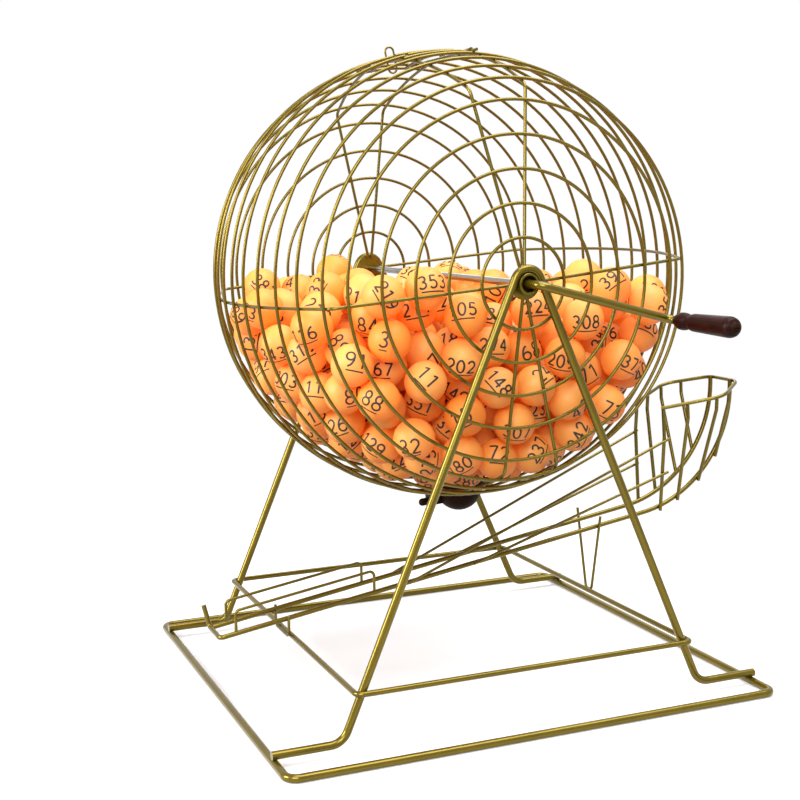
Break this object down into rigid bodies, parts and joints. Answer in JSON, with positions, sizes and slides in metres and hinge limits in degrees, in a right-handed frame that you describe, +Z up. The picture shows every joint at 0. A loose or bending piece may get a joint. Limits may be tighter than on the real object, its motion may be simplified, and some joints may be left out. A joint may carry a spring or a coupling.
{
  "type": "lottery machine",
  "caption": "Barrel-shaped wire ball cage on two rod legs, turned by a crank, above a two-rail ball chute with a wire catch basket.",
  "frame": {"origin": "on the floor, under the middle of the machine's box", "axes": "+Z up, +X towards the catch basket, crank on the -Y side"},
  "size_m": [0.6222, 0.5745, 0.653],
  "materials": {
    "gold_paint": "gloss gold paint over steel wire",
    "dark_iron": "dark brown-black paint",
    "bright_steel": "bright drawn steel",
    "wood": "dark lacquer",
    "ball": "thin orange celluloid, satin"
  },
  "bodies": {
    "frame": {"base_frame": "gold_paint", "front_leg": "gold_paint", "rear_leg": "gold_paint", "middle_frame": "gold_paint", "front_bush": "gold_paint", "rear_bush": "gold_paint", "near_rail": "gold_paint", "far_rail": "gold_paint", "near_tray_guard": "gold_paint", "far_tray_guard": "gold_paint", "tray_hanger": "gold_paint", "chute_prop": "gold_paint", "basket_rim": "gold_paint", "basket_rib_1": "gold_paint", "basket_rib_2": "gold_paint", "basket_rib_3": "gold_paint", "basket_rib_4": "gold_paint", "near_upper_side_wire": "gold_paint", "far_upper_side_wire": "gold_paint", "near_lower_side_wire": "gold_paint", "far_lower_side_wire": "gold_paint", "lower_balls": "ball", "upper_balls": "ball"},
    "cage": {"barrel_rings_1": "gold_paint", "barrel_rings_2": "gold_paint", "barrel_rings_3": "gold_paint", "barrel_rings_4": "gold_paint", "barrel_rings_5": "gold_paint", "barrel_rings_6": "gold_paint", "cap_rings_1": "gold_paint", "cap_rings_2": "gold_paint", "cap_rings_3": "gold_paint", "cap_rings_4": "gold_paint", "cap_rings_5": "gold_paint", "right_meridian": "gold_paint", "left_meridian": "gold_paint", "top_right_meridian": "gold_paint", "top_left_meridian": "gold_paint", "bottom_right_meridian": "gold_paint", "bottom_left_meridian": "gold_paint", "front_hub_plate": "gold_paint", "rear_hub_plate": "gold_paint", "axle": "bright_steel", "crank": "gold_paint", "rear_axle": "gold_paint", "grip_screw": "gold_paint", "hatch_hinge_rod": "dark_iron", "outlet_collar": "dark_iron", "outlet_hinge_pin": "gold_paint", "outlet_ball": "ball"},
    "grip": {"grip": "wood"},
    "hatch": {"hatch_door": "gold_paint", "hatch_pull": "gold_paint"},
    "cup": {"outlet_cup": "dark_iron"},
    "bolt": {"outlet_bolt": "gold_paint"}
  },
  "joints": [
    {"name": "cage_spin", "type": "hinge", "parent": "frame", "child": "cage", "pos_m": [-0.0511, 0.04125, 0.419], "axis": [0, -1, 0], "continuous": true},
    {"name": "grip_spin", "type": "hinge", "parent": "cage", "child": "grip", "pos_m": [0.08883, -0.23875, 0.38098], "axis": [0, -1, 0], "continuous": true},
    {"name": "hatch_swing", "type": "hinge", "parent": "cage", "child": "hatch", "pos_m": [-0.04335, 0.04125, 0.64095], "axis": [0, 1, 0], "range_deg": [0, 105]},
    {"name": "cup_swing", "type": "hinge", "parent": "cage", "child": "cup", "pos_m": [0.00133, 0.04125, 0.19041], "axis": [0, -1, 0], "range_deg": [0, 95]},
    {"name": "bolt_slide", "type": "slide", "parent": "cage", "child": "bolt", "axis": [-0.9959, 0, -0.0906], "range_m": [0, 0.0075]}
  ]
}
